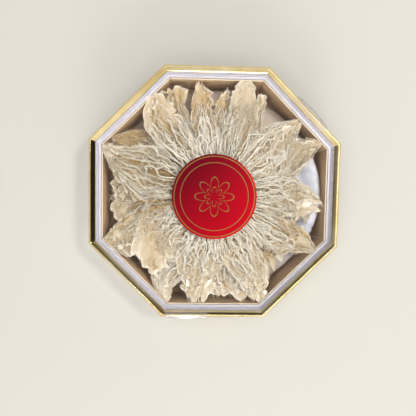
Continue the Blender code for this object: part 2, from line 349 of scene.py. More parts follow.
# Card tray: a folded liner of tan card. Its walls are slit at the corners, and the sheared top
# edges show the paler core of the card.
tray_apothem = 91.0
tray_wall = 0.9
tray_rim = 33.6
tray_floor = 3.2
tray_bottom = 2.3
tray_slit = 0.3
core_from = 0.45
core_full = 0.25


def along_axis(tree, axis):
    """The object's own coordinate along this axis, in metres."""
    place = tree.nodes.new("ShaderNodeTexCoord")
    parts = tree.nodes.new("ShaderNodeSeparateXYZ")
    tree.links.new(place.outputs["Object"], parts.inputs[0])
    return parts.outputs[axis]


tray_paint, tray_tree, tray_shader = paint("tan card")
tray_mottle = place_effect(
    tray_tree, mottle, Light=(0.62, 0.42, 0.235, 1), Dark=(0.52, 0.335, 0.17, 1),
    Patch_Scale=35.0, Grain_Scale=1500.0, Grain_Amount=0.25,
)
core_mask = share_between(
    tray_tree, along_axis(tray_tree, "Z"), (tray_rim - core_from) * MM, (tray_rim - core_full) * MM
)
tray_colour = mix_colours(
    tray_tree, core_mask, tray_mottle.outputs["Color"], (0.76, 0.64, 0.46, 1)
)
tray_tree.links.new(tray_colour, tray_shader.inputs["Base Color"])
tray_shader.inputs["Roughness"].default_value = 0.8
add_bump(tray_tree, tray_shader, tray_mottle.outputs["Grain"], 0.00008)
tray_points = []
tray_faces = []


def add_prism(outline, low, high):
    """A closed prism over an outline, added to the tray's lists."""
    first = len(tray_points)
    count = len(outline)
    tray_points.extend([(x * MM, y * MM, low * MM) for x, y in outline])
    tray_points.extend([(x * MM, y * MM, high * MM) for x, y in outline])
    tray_faces.append(tuple(range(first, first + count)))
    tray_faces.append(tuple(range(first + count, first + 2 * count)))
    for k in range(count):
        following = (k + 1) % count
        above = first + count
        tray_faces.append((first + k, first + following, above + following, above + k))


add_prism([(x / MM, y / MM) for x, y, _ in octagon_row(tray_apothem, 0)], tray_bottom, tray_floor)
for side in range(8):
    turn = side * pi / 4
    outer_half = tray_apothem * tan(pi / 8) - tray_slit / 2
    inner_half = (tray_apothem - tray_wall) * tan(pi / 8) - tray_slit / 2
    outline = []
    for out, along in (
        (tray_apothem, -outer_half),
        (tray_apothem, outer_half),
        (tray_apothem - tray_wall, inner_half),
        (tray_apothem - tray_wall, -inner_half),
    ):
        x = out * cos(turn) - along * np.sin(turn)
        y = out * np.sin(turn) + along * cos(turn)
        outline.append((x, y))
    add_prism(outline, tray_floor, tray_rim)
tray = mesh_piece("card_liner", tray_points, tray_faces, tray_paint)
tray_soften = tray.modifiers.new("soft edges", "BEVEL")
tray_soften.width = 0.18 * MM
tray_soften.segments = 2
tray_soften.limit_method = "ANGLE"
tray_soften.harden_normals = True
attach(tray, "root")
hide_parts("card_tray")

# Pad: a round cushion of white wadding in thin tissue, which the strips lie on. It is pressed
# down under them and swells up, lightly creased, towards the right wall. Away from that bulge
# its white tissue is painted beige as painted shade, turning white towards the right side.
pad_radius = 87.0
pad_bottom = 3.5
pad_top = 23.2
pad_bulge = 13.2
painted_light_from = 50
painted_light_full = 74
pad_paint, pad_tree, pad_shader = paint("white tissue")
pad_mottle = place_effect(
    pad_tree, mottle, Light=(0.76, 0.78, 0.85, 1), Dark=(0.68, 0.68, 0.70, 1),
    Patch_Scale=30.0, Grain_Scale=2600.0, Grain_Amount=0.12,
)
# Painted shade: the tissue is beige away from the right side and white towards it.
painted_light_mask = share_between(
    pad_tree, along_axis(pad_tree, "X"), painted_light_from * MM, painted_light_full * MM
)
pad_colour = mix_colours(
    pad_tree, painted_light_mask, (0.62, 0.53, 0.42, 1), pad_mottle.outputs["Color"]
)
pad_tree.links.new(pad_colour, pad_shader.inputs["Base Color"])
pad_shader.inputs["Roughness"].default_value = 0.6
pad_shader.inputs["Sheen Weight"].default_value = 0.2
add_bump(pad_tree, pad_shader, pad_mottle.outputs["Grain"], 0.0001)


def smooth_step(x, low, high):
    """0 below low, 1 above high and an even curve between them."""
    part = np.clip((x - low) / (high - low), 0, 1)
    return part * part * (3 - 2 * part)


def waves(seed, count, low, high):
    """Random plane waves, for soft uneven ground: rows of two frequencies, a phase and a size."""
    chance = np.random.default_rng(seed)
    size = chance.uniform(low, high, count)
    turn = chance.uniform(0, 2 * pi, count)
    phase = chance.uniform(0, 2 * pi, count)
    return np.c_[size * np.cos(turn), size * np.sin(turn), phase, low / size]


def sum_waves(rows, x, y):
    """The waves' sum at these places, of about the same size for any number of waves."""
    total = np.zeros_like(x)
    for fx, fy, phase, size in rows:
        total += size * np.sin(fx * x + fy * y + phase)
    return total / np.sqrt(len(rows))


pad_rows = 70
pad_columns = 256
across = np.linspace(0, 1, pad_rows)[:, None] * np.ones(pad_columns)
around = np.linspace(0, 2 * pi, pad_columns, endpoint=False)[None, :] * np.ones((pad_rows, 1))
pad_r = pad_radius * np.sin(np.clip(across * 1.25, 0, 1) * pi / 2) ** 0.9
profile_share = np.where(across < 0.8, 1 - (np.clip(pad_r / pad_radius, 0, 1)) ** 5 * 0.6, 0.0)
under = np.clip((across - 0.8) / 0.2, 0, 1)
profile_share = np.where(across < 0.8, profile_share, 0.4 * (1 - under))
pad_r = np.where(across < 0.8, pad_r, pad_radius - 5.0 * under**2)
towards = np.maximum(0, np.cos(around)) ** 5
swell = pad_bulge * towards * smooth_step(pad_r, 72, 85) * np.clip(profile_share * 2.2, 0, 1)
pad_r = pad_r + 2.7 * towards * smooth_step(pad_r, 78, 87)
pad_x = pad_r * np.cos(around)
pad_y = pad_r * np.sin(around)
soft = sum_waves(waves(3, 14, 0.06, 0.22), pad_x, pad_y)
crease = -np.abs(sum_waves(waves(8, 6, 0.10, 0.25), pad_x, pad_y)) ** 0.6
press = 3.0 * (1 - smooth_step(pad_r, 0, 26))
folds = 1 - np.abs(np.sin(8 * around + 2.2 * soft + 0.03 * pad_r))
tuck = -(folds**5) * smooth_step(pad_r, 58, 76)
relief = (0.5 * soft + 0.9 * crease + 3.0 * tuck) * np.clip(profile_share * 1.6, 0, 1)
pad_z = pad_bottom + profile_share * (pad_top - pad_bottom) + swell
pad_z = np.maximum(pad_z - press * profile_share + relief, pad_bottom)
pad_points = np.stack([pad_x, pad_y, pad_z], -1)[1:].reshape(-1, 3) * MM
pad_points = np.vstack([[[0, 0, (pad_top - 3.5) * MM]], pad_points])
pad_faces = [(0, 1 + k, 1 + (k + 1) % pad_columns) for k in range(pad_columns)]
for row in range(pad_rows - 2):
    a = 1 + row * pad_columns
    b = a + pad_columns
    for k in range(pad_columns):
        j = (k + 1) % pad_columns
        pad_faces.append((a + k, b + k, b + j, a + j))
last_row = 1 + (pad_rows - 2) * pad_columns
pad_faces.append(tuple(range(last_row, last_row + pad_columns)))
pad = mesh_piece("soft_pad", pad_points, pad_faces, pad_paint)
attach(pad, "root")
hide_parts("pad")

# Nest strips: long, cup-shaped pieces of dried, woven swiftlet's nest, cleaned and laid like
# petals, loose on the pad. Each is a thin skin at its outer end that frays into strands towards
# the middle. The first ten are the upper layer.
dome_radii = (8.0, 16.0, 26.0, 38.0, 50.0, 58.0, 66.0)
dome_heights = (31.2, 33.0, 34.4, 34.5, 33.8, 32.9, 32.0)
layer_drop = 4.0
rise_from = 58.0
mean_sink = 0.9
tip_rise = 0.3
strand_lowest = 20.0
strand_highest = 35.8
tray_gap = 0.4
rim_gap = 0.25
neck_reach = 92.6
strand_sides = 3
strand_flat = 0.8
inner_stations = (4.0, 26.0)
outer_stations = (46.0, 62.0, 77.0)
# Each strip: its direction in degrees, the radius and height of its tip, and if it lies on top
strips = (
    (160.0, 93.0, 35.3, True),
    (124.0, 92.0, 34.6, True),
    (96.0, 86.5, 30.0, True),
    (73.0, 94.5, 35.2, True),
    (41.0, 90.5, 35.0, True),
    (-6.0, 86.0, 34.0, True),
    (-29.5, 92.5, 35.2, True),
    (-66.0, 93.5, 34.2, True),
    (-100.0, 88.5, 33.8, True),
    (-142.0, 87.0, 32.0, True),
    (184.0, 85.0, 27.5, False),
    (145.0, 90.0, 29.5, False),
    (110.0, 88.0, 30.0, False),
    (84.0, 83.0, 28.5, False),
    (59.0, 88.0, 28.0, False),
    (23.5, 97.5, 35.2, False),
    (-17.5, 76.0, 29.5, False),
    (-48.0, 81.0, 26.5, False),
    (-83.0, 88.0, 32.0, False),
    (-115.5, 94.0, 32.5, False),
    (-159.0, 93.5, 34.0, False),
)
# Outlines of the strips' outer parts, read in an enlarged view of the photo: four (x, y)
# points along the edge on the clockwise side, then along the middle and along the other edge.
# Points of the third and thirteenth strips were then moved, to fit the render to the photo.
# The view starts at this column and row of the photo, and each strip was read at its own height.
zoom_left = 85
zoom_top = 62
zoom_scale = 6.0308
strip_outlines = (
    (450, 640, 330, 580, 210, 535, 120, 488,
     440, 680, 300, 620, 200, 585, 100, 505,
     440, 730, 280, 690, 190, 650, 128, 600),
    (620, 520, 530, 390, 490, 270, 450, 165,
     540, 560, 450, 400, 420, 290, 425, 180,
     470, 600, 370, 430, 352, 310, 395, 190),
    (770, 420, 745, 287, 756, 192, 737, 135,
     715, 420, 700, 280, 703, 190, 700, 101,
     650, 420, 643, 287, 656, 197, 674, 115),
    (1050, 440, 1045, 290, 1030, 170, 995, 98,
     950, 440, 960, 290, 965, 170, 970, 92,
     860, 430, 890, 270, 903, 170, 942, 105),
    (1060, 560, 1150, 500, 1220, 450, 1300, 400,
     1020, 530, 1110, 460, 1200, 410, 1308, 352,
     980, 500, 1060, 430, 1150, 395, 1285, 345),
    (1080, 850, 1200, 880, 1310, 895, 1425, 898,
     1080, 800, 1200, 820, 1320, 835, 1437, 862,
     1080, 740, 1200, 745, 1300, 770, 1400, 795),
    (1060, 1020, 1160, 1110, 1270, 1130, 1394, 1142,
     1080, 980, 1190, 1040, 1290, 1080, 1397, 1140,
     1100, 940, 1210, 970, 1310, 1000, 1396, 1136),
    (860, 1100, 920, 1230, 960, 1320, 1008, 1450,
     910, 1090, 970, 1210, 1030, 1310, 1048, 1460,
     960, 1080, 1030, 1190, 1085, 1300, 1086, 1455),
    (640, 1100, 620, 1230, 615, 1330, 613, 1462,
     690, 1110, 670, 1240, 665, 1340, 660, 1468,
     740, 1110, 740, 1250, 735, 1350, 715, 1462),
    (500, 1010, 400, 1070, 320, 1120, 262, 1165,
     540, 1050, 450, 1130, 385, 1190, 325, 1235,
     580, 1090, 520, 1180, 460, 1250, 398, 1300),
    (430, 690, 300, 670, 220, 660, 158, 668,
     420, 800, 300, 800, 210, 800, 138, 800,
     430, 900, 300, 930, 220, 960, 158, 945),
    (480, 520, 370, 440, 270, 433, 148, 443,
     450, 570, 330, 490, 240, 480, 150, 450,
     430, 600, 310, 550, 220, 535, 160, 470),
    (680, 440, 603, 317, 590, 232, 640, 125,
     620, 450, 575, 310, 555, 225, 550, 139,
     560, 460, 537, 310, 513, 225, 450, 148),
    (870, 420, 905, 300, 893, 215, 868, 153,
     840, 420, 850, 300, 855, 215, 863, 150,
     800, 420, 800, 300, 815, 215, 858, 153),
    (1010, 420, 1060, 330, 1090, 250, 1096, 195,
     970, 420, 1030, 320, 1065, 240, 1068, 180,
     940, 420, 990, 310, 1035, 240, 1035, 195),
    (1130, 680, 1260, 660, 1350, 580, 1400, 530,
     1110, 620, 1230, 580, 1320, 520, 1440, 488,
     1100, 560, 1200, 510, 1290, 470, 1415, 465),
    (1090, 930, 1180, 960, 1260, 970, 1300, 960,
     1090, 890, 1190, 905, 1280, 920, 1325, 930,
     1090, 850, 1190, 860, 1280, 870, 1320, 900),
    (980, 1060, 1030, 1150, 1070, 1240, 1090, 1350,
     1020, 1040, 1090, 1110, 1150, 1180, 1170, 1270,
     1050, 1010, 1120, 1060, 1200, 1110, 1240, 1150),
    (760, 1120, 780, 1250, 785, 1360, 778, 1440,
     820, 1120, 850, 1250, 860, 1350, 860, 1415,
     880, 1110, 920, 1240, 950, 1340, 955, 1470),
    (560, 1120, 480, 1220, 405, 1300, 440, 1420,
     590, 1140, 530, 1230, 450, 1320, 480, 1465,
     620, 1150, 570, 1240, 500, 1330, 525, 1405),
    (430, 930, 280, 960, 190, 990, 118, 1065,
     400, 990, 270, 1030, 190, 1060, 112, 1085,
     400, 1050, 290, 1100, 250, 1160, 165, 1140),
)
read_heights = (
    34.2, 32.5, 30.0, 35.2, 33.0, 34.0, 33.0, 32.0, 31.5, 32.0,
    27.5, 29.5, 30.0, 28.5, 28.0, 35.2, 29.5, 26.5, 29.5, 30.0, 31.5,
)
# How far the cords reach along each strip's outer part. Below zero it is a plain flap, with one
# skin less and lower pleats.
cord_reach = (
    0.75, 0.30, -0.05, -0.02, 0.50, 0.80, 0.30, 0.45, 0.50, -0.01,
    0.60, -0.05, -0.10, -0.05, -0.1, 0.25, 0.80, -0.01, 0.40, 0.60, 0.35,
)
# How far each strip runs together with its neighbours before it stands apart as a flap
joined = (
    0.9, 0.75, 0.2, 0.5, 0.9, 0.9, 0.8, 0.7, 0.9, 0.85,
    1.0, 0.6, 0.25, 0.3, 0.1, 0.6, 0.9, 0.7, 0.9, 0.75, 0.9,
)
nest_paint, nest_tree, nest_shader = paint("dried nest")
tint = nest_tree.nodes.new("ShaderNodeAttribute")
tint.attribute_name = "tint"
nest_mottle = place_effect(
    nest_tree, mottle, Light=(1.0, 1.0, 0.98, 1), Dark=(0.91, 0.86, 0.76, 1),
    Patch_Scale=260.0, Grain_Scale=2200.0, Grain_Amount=0.25,
)
nest_colour = mix_colours(
    nest_tree, 1.0, tint.outputs["Color"], nest_mottle.outputs["Color"], "MULTIPLY"
)
nest_tree.links.new(nest_colour, nest_shader.inputs["Base Color"])
nest_shader.inputs["Roughness"].default_value = 0.34
nest_shader.inputs["Specular IOR Level"].default_value = 0.5
add_bump(nest_tree, nest_shader, nest_mottle.outputs["Grain"], 0.00012)
ivory = np.array((0.99, 0.96, 0.87))
straw = np.array((0.62, 0.41, 0.14))
tan_skin = np.array((0.45, 0.315, 0.135))
amber_and_gap_shade = np.array((0.40, 0.21, 0.04))
# How light each strip is drawn beside the others: painted light and shade, darkest at the left
strip_light_and_shade = (
    0.84, 0.97, 1.0, 0.86, 0.95, 0.91, 0.90, 0.97, 0.98, 0.96,
    0.80, 0.86, 1.0, 1.06, 1.0, 0.93, 0.91, 0.95, 1.0, 1.0, 0.88,
)
# How much browner than the rest each strip's skins are
tan_share = (
    -0.05, 0.05, 0.3, -0.12, 0.0, 0.0, 0.1, -0.05, -0.05, -0.1,
    0.0, 0.3, 0.2, 0.2, 0.0, 0.05, 0.1, 0.1, -0.05, -0.25, 0.0,
)


def sector(index):
    """The angles that a strip has to itself, between its neighbours in the same layer."""
    angle, upper = strips[index][0], strips[index][3]
    others = [s[0] for k, s in enumerate(strips) if k != index and s[3] == upper]
    above = min((other - angle) % 360 for other in others)
    below = min((angle - other) % 360 for other in others)
    return angle - below / 2, angle + above / 2


def from_photo(x, y, height):
    """Where a point of the enlarged view lies at this height, in whole millimetres."""
    column = zoom_left + x / zoom_scale - view_pixels / 2
    row = zoom_top + y / zoom_scale - view_pixels / 2
    ray = turned @ Vector((column, -row, -focal_pixels))
    place = (Vector(camera_place) / MM) + ray * ((height - camera_place[2] / MM) / ray.z)
    return round(place.x), round(place.y)


def rail_curves(index):
    """The strip's three rails sampled finely: their places by nominal radius, from the middle."""
    tip_radius = strips[index][1]
    first_turn, last_turn = sector(index)
    outlines = np.reshape(strip_outlines[index], (12, 2)).tolist()
    outer = [from_photo(x, y, read_heights[index]) for x, y in outlines]
    outer = np.array(outer, float).reshape(3, 4, 2)
    nominal = np.array([*inner_stations, *outer_stations, tip_radius])
    finely = np.linspace(inner_stations[0], tip_radius, 90)
    fill = (1.0, joined[index], 0.35 * joined[index])
    curves = []
    for turn, rail in zip((first_turn, (first_turn + last_turn) / 2, last_turn), outer):
        along = np.array((cos(radians(turn)), np.sin(radians(turn))))
        inner = [along * r for r in inner_stations]
        for k, r in enumerate(outer_stations):
            rail[k] += (along * r - rail[k]) * fill[k]
        stations = np.vstack([inner, rail])
        slopes = np.gradient(stations, nominal, axis=0)
        span = np.clip(np.searchsorted(nominal, finely, "right") - 1, 0, 4)
        length = (nominal[span + 1] - nominal[span])[:, None]
        s = (finely - nominal[span])[:, None] / length
        curve = (2 * s**3 - 3 * s**2 + 1) * stations[span]
        curve = curve + (3 * s**2 - 2 * s**3) * stations[span + 1]
        curve += ((s**3 - 2 * s**2 + s) * slopes[span] + (s**3 - s**2) * slopes[span + 1]) * length
        curves.append(curve)
    return finely, np.array(curves)


rails_of = [rail_curves(index) for index in range(len(strips))]


def on_strip(index, radius, t, lift):
    """Points of a strip: nominal radius, t from -1 to 1 across it, lift above its mean top."""
    _, tip_radius, tip_height, upper = strips[index]
    finely, curves = rails_of[index]
    radius, t = np.broadcast_arrays(radius, t)
    shares = (t * (t - 1) / 2, 1 - t * t, t * (t + 1) / 2)
    x, y = (
        sum(share * np.interp(radius, finely, curves[k, :, axis]) for k, share in enumerate(shares))
        for axis in range(2)
    )
    middle = np.interp(radius, dome_radii, dome_heights) - (0.0 if upper else layer_drop)
    ease = smooth_step(radius, rise_from, tip_radius)
    height = middle + (tip_height - middle) * ease - mean_sink + tip_rise * ease + lift
    turn = np.arctan2(y, x)
    off = (turn + pi / 8) % (pi / 4) - pi / 8
    reach = np.maximum(np.hypot(x, y) * np.cos(off), 0.1)
    in_tray = height < tray_rim + rim_gap
    limit = np.where(in_tray, tray_apothem - tray_wall - tray_gap, neck_reach)
    pull = np.minimum(1.0, limit / reach)
    height = np.clip(height, strand_lowest, strand_highest)
    return np.stack([x * pull, y * pull, height], -1)


def tubes(lines, thick, flat):
    """Points and quads of tapering strands along these lines: (count, steps, 3) in millimetres."""
    count, steps, _ = lines.shape
    ahead = np.gradient(lines, axis=1)
    ahead /= np.linalg.norm(ahead, axis=2, keepdims=True) + 1e-9
    up = np.array([0.0, 0.0, 1.0])
    aside = np.cross(ahead, up)
    aside /= np.linalg.norm(aside, axis=2, keepdims=True) + 1e-9
    above = np.cross(aside, ahead)
    turn = np.arange(strand_sides) * 2 * pi / strand_sides + pi / 2
    ring = (
        aside[:, :, None, :] * np.cos(turn)[None, None, :, None]
        + above[:, :, None, :] * np.sin(turn)[None, None, :, None] * flat
    )
    points = lines[:, :, None, :] + ring * thick[:, :, None, None]
    index = np.arange(count * steps * strand_sides).reshape(count, steps, strand_sides)
    following = np.roll(index, -1, axis=2)
    quads = np.stack([index[:, :-1], following[:, :-1], following[:, 1:], index[:, 1:]], -1)
    return points.reshape(-1, 3), quads.reshape(-1, 4)


def wander(chance, count, steps, size, roughness):
    """Smooth random side steps along each strand."""
    knots = chance.normal(0, 1, (count, roughness))
    places = np.linspace(0, roughness - 1, steps)
    low = np.floor(places).astype(int).clip(0, roughness - 2)
    part = places - low
    part = part * part * (3 - 2 * part)
    return size * (knots[:, low] * (1 - part) + knots[:, low + 1] * part)


def mix_tints(first, second, share):
    """A blend of two colours for each share, clipped to 0 and 1."""
    share = np.clip(share, 0, 1)[..., None]
    return first * (1 - share) + second * share


def crest_height(index, radius):
    """Height of the strip's mean top, used to tell how deep a fibre lies in it, for the painted
    shade of low fibres.
    """
    return on_strip(index, radius, np.zeros_like(radius), 0.0)[..., 2]


def nest_strip(index):
    """One strip: torn skins, bundled strands over its length, cross fibres and frizz."""
    _, tip_radius, _, upper = strips[index]
    chance = np.random.default_rng(100 + index)
    all_points = []
    all_quads = []
    all_tints = []
    total = 0

    def keep(points, quads, tints):
        nonlocal total
        all_points.append(points)
        all_quads.append(quads + total)
        all_tints.append(tints)
        total += len(points)

    def keep_tubes(lines, thick, tints, flat=strand_flat):
        points, quads = tubes(lines, thick, flat)
        keep(points, quads, np.repeat(tints.reshape(-1, 3), strand_sides, axis=0))

    # Skins: a deep amber one under the whole strip, its amber partly the nest's own honey colour
    # and partly painted golden shade for the gaps between the strands, then paler ones with torn
    # holes, thin folds and a thickened white rim. Their sides and outer ends are ragged.
    plain = cord_reach[index] < 0
    for skin in range(2 if plain else 3):
        rows = 46
        columns = 30
        start = ((8.0 if upper else 30.0), 44.0, chance.uniform(52, 60))[skin]
        u = np.linspace(0, 1, rows)[:, None]
        t = np.linspace(-1, 1, columns)[None, :]
        middle = 0.0 if skin < 2 else chance.uniform(-0.3, 0.3)
        width = (0.90, 0.97, chance.uniform(0.45, 0.7))[skin]
        knots = chance.uniform(0, 1, 12)
        ragged = np.interp(np.linspace(0, 1, columns), np.linspace(0, 1, 12), knots)
        end = tip_radius - (5.0, 4.5, 8.0)[skin] * ragged**1.5
        end = end - 1.2 * chance.uniform(0, 1, columns) ** 2
        end = end - (3.0, 0.0, chance.uniform(0, 9))[skin]
        radius = start + (end - start) * u
        sway = wander(chance, 3, rows, 0.11, 20)
        notches = np.clip(wander(chance, 3, rows, 1.0, 16) - 0.9, 0, 1)
        torn_in = notches * np.linspace(0, 0.55, rows)
        edges = sway - torn_in
        sides = np.where(t < 0, edges[1][:, None], edges[2][:, None])
        across_strip = middle + sway[0][:, None] * u + t * width * (1 + sides)
        pleat = np.sin(t * chance.uniform(4, 8) + chance.uniform(0, 6) + chance.uniform(-3, 3) * u)
        ground = (radius + 0 * t, 14 * t + 0 * u)
        own_seed = 3 * index + skin
        pleat = 0.5 * pleat + 0.6 * sum_waves(waves(500 + own_seed, 7, 0.1, 0.35), *ground)
        curl = chance.uniform(-0.6, 1.6) * np.abs(t) ** 3 * u**2
        depth = (3.4 * (1 - 0.6 * u**2), 2.3 - 1.7 * u**2, 1.7 - 1.3 * u**2)[skin]
        lift = (0.45 if plain else 0.8) * pleat + curl - depth
        points = on_strip(index, radius + 0 * t, across_strip, lift)
        points[..., 2] += chance.normal(0, 0.06, points.shape[:2])
        grid = np.arange(rows * columns).reshape(rows, columns)
        quads = np.stack([grid[:-1, :-1], grid[:-1, 1:], grid[1:, 1:], grid[1:, :-1]], -1)
        quads = quads.reshape(-1, 4)
        if skin:
            cells = wander(chance, columns - 1, rows - 1, 1.0, 10).T
            cells = cells + 0.6 * np.roll(cells, 1, axis=1)
            torn = cells > np.linspace(0.7, 2.6, rows - 1)[:, None]
            quads = quads[~torn.reshape(-1)]
        edge = np.clip(np.abs(t) ** 14 + u**26, 0, 1)
        streak_knots = chance.normal(0, 0.05, 16)
        streaks = np.interp(np.linspace(0, 1, columns), np.linspace(0, 1, 16), streak_knots)
        # The share of tan: the strip's own browning, streaks and patches, paler rims, and painted
        # shade that browns the low troughs of the folds.
        browning_and_fold_shade = 0.80 + tan_share[index] - 0.6 * edge - 0.15 * pleat + streaks
        browning_and_fold_shade = browning_and_fold_shade + chance.uniform(-0.06, 0.06)
        browning_and_fold_shade = browning_and_fold_shade + wander(chance, columns, rows, 0.05, 10).T
        browning_and_fold_shade = browning_and_fold_shade - 0.09 * sum_waves(waves(800 + own_seed, 8, 0.12, 0.5), *ground)
        tints = mix_tints(ivory, tan_skin, browning_and_fold_shade)
        # Partly painted golden shade: the deepest skin turns amber towards the middle, under the
        # strands.
        if skin == 0:
            tints = mix_tints(amber_and_gap_shade, tints, 0.1 + u**1.3 + 0 * t)
        keep(points.reshape(-1, 3), quads, tints.reshape(-1, 3))
        if skin:
            half = rows // 3
            line = [points[half:, 0], points[-1, 1:], points[half:-1, -1][::-1]]
            line = np.concatenate(line)[None]
            line = line + chance.normal(0, 0.12, line.shape)
            thick = chance.uniform(0.10, 0.30, line.shape[:2])
            pale_rim = mix_tints(ivory, straw, 0.15)
            keep_tubes(line, thick, np.broadcast_to(pale_rim, line.shape))

    # Cords: each is a few fibres that share one crinkled path and fray apart at its outer end.
    # Some turn back on themselves as loops.
    def laid_cords(cord_count, fibres, steps, sizes, gap, high, whiteness, further, stray=0.12):
        u = np.linspace(0, 1, steps)[None, :]
        first = chance.uniform(*((6, 24) if upper else (28, 44)), (cord_count, 1))
        centre = np.linspace(-1.02, 1.02, cord_count)[:, None]
        centre = centre + chance.normal(0, 0.09, (cord_count, 1))
        longest = 48.0 + (tip_radius - 50.0) * min(1.0, cord_reach[index] + further)
        end = longest - chance.uniform(0, 1, (cord_count, 1)) ** 1.6 * 0.75 * (longest - 40.0)
        loop = chance.uniform(0, 1, (cord_count, 1)) < 0.3
        share = np.where(loop, np.sin(u * pi * 0.72), u)
        radius = first + (end - first) * share + wander(chance, cord_count, steps, 0.7, 12)
        t = centre + wander(chance, cord_count, steps, stray, 6)
        t = t + wander(chance, cord_count, steps, 0.06, 20)
        turned_back = chance.uniform(-0.5, 0.5, (cord_count, 1)) * smooth_step(u, 0.5, 0.85)
        t = t + np.where(loop, turned_back, 0)
        t = 1.35 * np.tanh(t / 1.35)
        lift = high + chance.uniform(-1.1, 1.0, (cord_count, 1))
        lift = lift + wander(chance, cord_count, steps, 0.6, 12)
        shade = chance.choice([0.0, 0.35, 1.0], (cord_count, 1), p=whiteness)
        radius, t, lift, shade = (np.repeat(v, fibres, axis=0) for v in (radius, t, lift, shade))
        count = cord_count * fibres
        opened = gap * (0.6 + 0.35 * wander(chance, count, steps, 1.0, 8) + 1.8 * u**8)
        aside = chance.normal(0, 1, (count, 1)) * opened
        t = t + aside / np.maximum(radius, 20.0) * 3.4
        t = t + wander(chance, count, steps, 0.012, 20)
        lift = lift + chance.normal(0, 0.25, (count, 1)) * opened
        radius = radius - chance.uniform(0, 5, (count, 1)) * u**2
        lines = on_strip(index, radius, t, lift)
        size = chance.uniform(*sizes, (count, 1))
        taper = np.minimum(1, 8 * u) * np.minimum(1, 4 * (1 - u)) * 0.85 + 0.15
        thick = np.abs(size * taper * (1 + wander(chance, count, steps, 0.25, 16)))
        # Painted shade: cords that lie below the strip's top are tinted towards straw.
        painted_depth_shade = np.clip((crest_height(index, radius) - lines[..., 2] - 0.3) / 2.0, 0, 1)
        keep_tubes(lines, thick, mix_tints(ivory, straw, shade + 0.75 * painted_depth_shade))

    laid_cords(18, 4, 40, (0.16, 0.33), 0.5, 0.5, [0.80, 0.14, 0.06], 0.4)
    laid_cords(5, 2, 44, (0.22, 0.38), 0.30, 1.7, [0.9, 0.1, 0.0], 0.3, 0.40)
    # The low cords are mostly straw: painted shade for fibres that lie deep.
    laid_cords(26, 1, 34, (0.13, 0.24), 0.5, -1.3, [0.2, 0.35, 0.45], 0.25)

    # Matted fibres: short ones that run askew from cord to cord, and ones pressed into the skins
    def short_fibres(count, steps, inner, outer, low, high, sizes, shades):
        u = np.linspace(0, 1, steps)[None, :]
        start = chance.uniform(inner, outer, (count, 1))
        radius = start + chance.uniform(3, 16, (count, 1)) * u
        radius = radius + wander(chance, count, steps, 0.8, 5)
        radius = np.minimum(radius, tip_radius - 0.4)
        swing = chance.choice([-1, 1], (count, 1)) * chance.uniform(0.1, 0.6, (count, 1))
        t = chance.uniform(-0.9, 0.9, (count, 1)) + swing * (u - 0.5)
        t = np.clip(t + wander(chance, count, steps, 0.07, 5), -1.04, 1.04)
        lift = chance.uniform(low, high, (count, 1)) + 0.6 * np.sin(u * pi)
        lift = lift + wander(chance, count, steps, 0.2, 5)
        lines = on_strip(index, radius, t, lift)
        thick = chance.uniform(*sizes, (count, 1)) * (0.35 + 0.65 * np.sin(u * pi) ** 0.5)
        # Painted shade: short fibres that lie below the strip's top are tinted towards straw.
        painted_depth_shade = np.clip((crest_height(index, radius) - lines[..., 2] - 0.6) / 3.2, 0, 1)
        shade = chance.uniform(*shades, (count, 1))
        keep_tubes(lines, thick, mix_tints(ivory, straw, 0.7 * painted_depth_shade + shade))

    inside = 18.0 if upper else 44.0
    short_fibres(34, 15, inside, 58.0, -1.2, 0.8, (0.18, 0.36), (0.0, 0.3))
    matted_to = 52.0 + (tip_radius - 55.0) * min(1.0, cord_reach[index] + 0.35)
    short_fibres(60, 12, 44.0, matted_to, -1.6, -0.2, (0.12, 0.24), (0.0, 0.5))

    # Frizz: fine short curls that stand off the cords and the outer edge
    count = 96
    steps = 9
    u = np.linspace(0, 1, steps)[None, :]
    start = chance.uniform(inside, max(matted_to, tip_radius - 4.0), (count, 1))
    length = chance.uniform(1.5, 5, (count, 1)) * u
    radius = start + length * chance.choice([-1, 1], (count, 1), p=[0.3, 0.7])
    radius = np.minimum(radius, tip_radius)
    bend = chance.uniform(-1, 1, (count, 1))
    t = np.sin(chance.uniform(-1.5, 1.5, (count, 1))) + bend * 0.3 * u**2
    t = t + wander(chance, count, steps, 0.05, 4)
    lift = chance.uniform(-1.0, 0.6, (count, 1))
    lift = lift + np.sin(u * pi) * chance.uniform(0, 0.9, (count, 1))
    lines = on_strip(index, radius, np.clip(t, -1.14, 1.14), lift)
    thick = chance.uniform(0.10, 0.20, (count, 1)) * (1.0 - 0.6 * u)
    shade = chance.uniform(0, 0.4, (count, 1)) + 0 * u
    keep_tubes(lines, thick, mix_tints(ivory, straw, shade), flat=1.0)

    points = np.concatenate(all_points) * MM
    quads = np.concatenate(all_quads)
